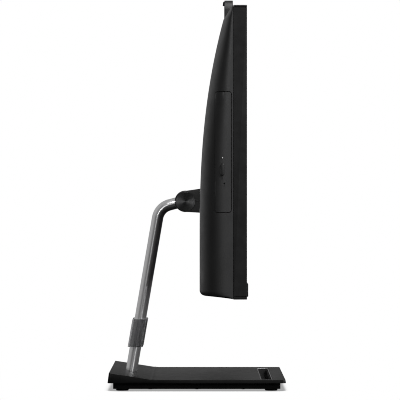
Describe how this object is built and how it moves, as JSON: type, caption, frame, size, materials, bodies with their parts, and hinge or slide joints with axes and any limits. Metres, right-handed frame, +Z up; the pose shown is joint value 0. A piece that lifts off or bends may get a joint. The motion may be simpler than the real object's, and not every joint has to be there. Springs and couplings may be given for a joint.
{
  "type": "all-in-one pc",
  "caption": "Slim all-in-one desktop computer: a wide screen with a bulged back, pop-up webcam and side disc tray, tilting on a bent oval-tube stand with a slotted base.",
  "frame": {"origin": "on the desk, under the middle of the base", "axes": "+Z up; the screen faces -Y; -X is the user's left, the side with the disc drive"},
  "size_m": [0.541, 0.2115, 0.4708],
  "materials": {
    "frame_plastic": "fine matt grain",
    "cover_plastic": "fine matt grain, slight sheen",
    "black_plastic": "matt",
    "hinge_cap_metal": "dark, brushed in circles",
    "screen_glass": "dark, switched off",
    "panel_back": "plain",
    "brushed_tube": "brushed along its length",
    "base_paint": "dark grey satin",
    "rubber": "matt black",
    "smoke_plastic": "smoky, see-through",
    "steel": "plain sheet",
    "copper": "bare copper",
    "aluminium": "satin",
    "board_green": "circuit board lacquer"
  },
  "bodies": {
    "stand": {"base_plate": "base_paint", "slot_trim": "aluminium", "base_bottom_cover": "black_plastic", "ballast_plate": "steel", "tube_flange": "steel", "flange_screw_left": "steel", "flange_screw_right": "steel", "foot_front_left": "rubber", "foot_front_right": "rubber", "foot_rear_left": "rubber", "foot_rear_right": "rubber", "phone_slot_liner": "rubber", "stand_tube": "brushed_tube", "hinge_shaft": "steel"},
    "screen_unit": {"front_frame": "frame_plastic", "speaker_grille": "frame_plastic", "lcd_glass": "screen_glass", "lcd_backlight": "panel_back", "chassis_plate": "steel", "speaker_left": "black_plastic", "speaker_right": "black_plastic", "rear_cover": "cover_plastic", "drive_case": "aluminium", "webcam_rail": "black_plastic", "power_switch_board": "board_green", "motherboard": "board_green", "memory_module_lower": "board_green", "memory_module_upper": "board_green", "ssd_module": "board_green", "wifi_module": "board_green", "coin_cell": "steel", "hard_drive": "aluminium", "hard_drive_cage": "steel", "fan_housing": "black_plastic", "heatsink": "aluminium", "fin_stack": "aluminium", "heat_pipe": "copper", "port_bay": "black_plastic", "dc_jack": "black_plastic", "hdmi_port": "steel", "lan_port": "steel", "usb_port_1": "steel", "usb_port_2": "steel", "audio_jack": "black_plastic", "neck_cover_upper": "black_plastic", "neck_cover_lower": "black_plastic", "neck_cap_left": "hinge_cap_metal", "neck_cap_right": "hinge_cap_metal", "hinge_bracket": "steel", "mount_bracket": "steel"},
    "cable_clip": {"cable_clip": "smoke_plastic"},
    "webcam": {"webcam_housing": "frame_plastic", "webcam_lens": "screen_glass"},
    "disc_tray": {"drive_tray": "black_plastic", "drive_bezel": "cover_plastic"},
    "eject_button": {"eject_button": "black_plastic"},
    "disc_hub": {"disc_hub": "black_plastic"},
    "pickup_sled": {"pickup_sled": "steel"},
    "power_button": {"power_button": "black_plastic"},
    "fan_rotor": {"fan_rotor": "black_plastic"}
  },
  "joints": [
    {"name": "screen_tilt", "type": "hinge", "parent": "stand", "child": "screen_unit", "pos_m": [0, 0.014, 0.2244], "axis": [-1, 0, 0], "range_deg": [-5, 20]},
    {"name": "webcam_slide", "type": "slide", "parent": "screen_unit", "child": "webcam", "axis": [0, 0, 1], "range_m": [-0.019, 0]},
    {"name": "disc_tray_slide", "type": "slide", "parent": "screen_unit", "child": "disc_tray", "axis": [-1, 0, 0], "range_m": [0, 0.118]},
    {"name": "eject_button_press", "type": "slide", "parent": "disc_tray", "child": "eject_button", "axis": [1, 0, 0], "range_m": [0, 0.0008], "stiffness_N_per_m": 600, "springref_m": -0.0006},
    {"name": "disc_hub_spin", "type": "hinge", "parent": "disc_tray", "child": "disc_hub", "pos_m": [-0.201, -0.034, 0.28105], "axis": [0, -1, 0], "continuous": true},
    {"name": "pickup_sled_slide", "type": "slide", "parent": "disc_tray", "child": "pickup_sled", "axis": [1, 0, 0], "range_m": [0, 0.027]},
    {"name": "power_button_press", "type": "slide", "parent": "screen_unit", "child": "power_button", "axis": [0, 0, 1], "range_m": [0, 0.001], "stiffness_N_per_m": 600, "springref_m": -0.0006},
    {"name": "fan_spin", "type": "hinge", "parent": "screen_unit", "child": "fan_rotor", "pos_m": [0.19, -0.035, 0.336], "axis": [0, -1, 0], "continuous": true},
    {"name": "cable_clip_slide", "type": "slide", "parent": "stand", "child": "cable_clip", "axis": [0, -0.1686, 0.9857], "range_m": [-0.025, 0.09]}
  ]
}
